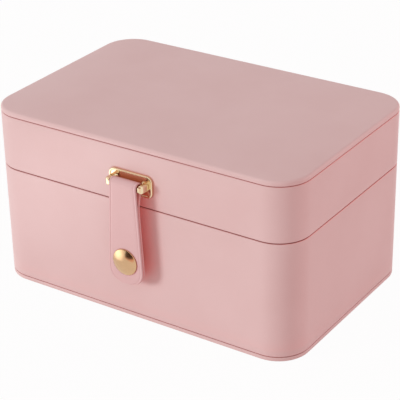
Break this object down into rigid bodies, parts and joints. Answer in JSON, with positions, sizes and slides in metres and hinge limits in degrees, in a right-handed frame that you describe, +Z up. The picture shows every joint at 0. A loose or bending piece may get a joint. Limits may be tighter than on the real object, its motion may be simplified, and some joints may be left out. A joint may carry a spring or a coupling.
{
  "type": "travel jewelry box",
  "caption": "Pink wrapped travel jewelry box with a hinged, crowned lid, a folded strap with a snap, a mirror, and a lift-out tray with ring rolls.",
  "frame": {"origin": "middle of the flat underside, below the centre of the walls", "axes": "+Z up, the strap's front faces -Y, +X to the right seen from the front"},
  "size_m": [0.19, 0.1407, 0.1038],
  "materials": {
    "pink_sheet": "smooth coated sheet, soft satin",
    "pink_strap": "smooth coated sheet, soft satin",
    "grey_board": "raw board",
    "velvet": "short-pile velvet",
    "velvet_roll": "short-pile velvet over foam",
    "foam": "thin padding foam",
    "mirror": "silvered glass",
    "satin_gold": "satin plated",
    "polished_gold": "polished plated"
  },
  "bodies": {
    "base": {"bottom_cover": "pink_sheet", "bottom_board": "grey_board", "base_wall_board": "grey_board", "base_wrap": "pink_sheet", "base_lining": "velvet", "tray_ledge": "velvet", "lower_divider_long": "velvet", "lower_divider_left": "velvet", "lower_divider_right": "velvet", "snap_stud": "satin_gold", "snap_rivet": "satin_gold", "hinge_left_base_leaf": "polished_gold", "hinge_left_pin": "polished_gold", "hinge_right_base_leaf": "polished_gold", "hinge_right_pin": "polished_gold", "hinge_base_screws": "polished_gold"},
    "lid": {"lid_wall_board": "grey_board", "lid_wrap": "pink_sheet", "lid_lining": "velvet", "mirror_glass": "mirror", "mirror_backing": "grey_board", "lid_top_board": "grey_board", "lid_top_foam": "foam", "lid_top_cover": "pink_sheet", "hinge_left_lid_leaf": "polished_gold", "hinge_right_lid_leaf": "polished_gold", "hinge_lid_screws": "polished_gold", "strap_bridge": "polished_gold", "bridge_screws": "polished_gold"},
    "strap": {"strap": "pink_strap", "snap_cap": "satin_gold", "snap_socket": "satin_gold"},
    "tray": {"tray_shell": "pink_sheet", "tray_lining": "velvet", "tray_divider_main": "velvet", "tray_divider_column": "velvet", "tray_divider_row": "velvet", "ring_roll_1": "velvet_roll", "ring_roll_2": "velvet_roll", "ring_roll_3": "velvet_roll", "ring_roll_4": "velvet_roll", "ring_roll_5": "velvet_roll", "ring_roll_6": "velvet_roll", "ring_roll_7": "velvet_roll"}
  },
  "joints": [
    {"name": "lid_hinge", "type": "hinge", "parent": "base", "child": "lid", "pos_m": [0, 0.06485, 0.06815], "axis": [-1, 0, 0], "range_deg": [0, 100]},
    {"name": "strap_swing", "type": "hinge", "parent": "lid", "child": "strap", "pos_m": [0, -0.0686, 0.0819], "axis": [-1, 0, 0], "range_deg": [0, 165]},
    {"name": "tray_lift", "type": "slide", "parent": "base", "child": "tray", "axis": [0, 0, 1], "range_m": [0, 0.028]}
  ]
}
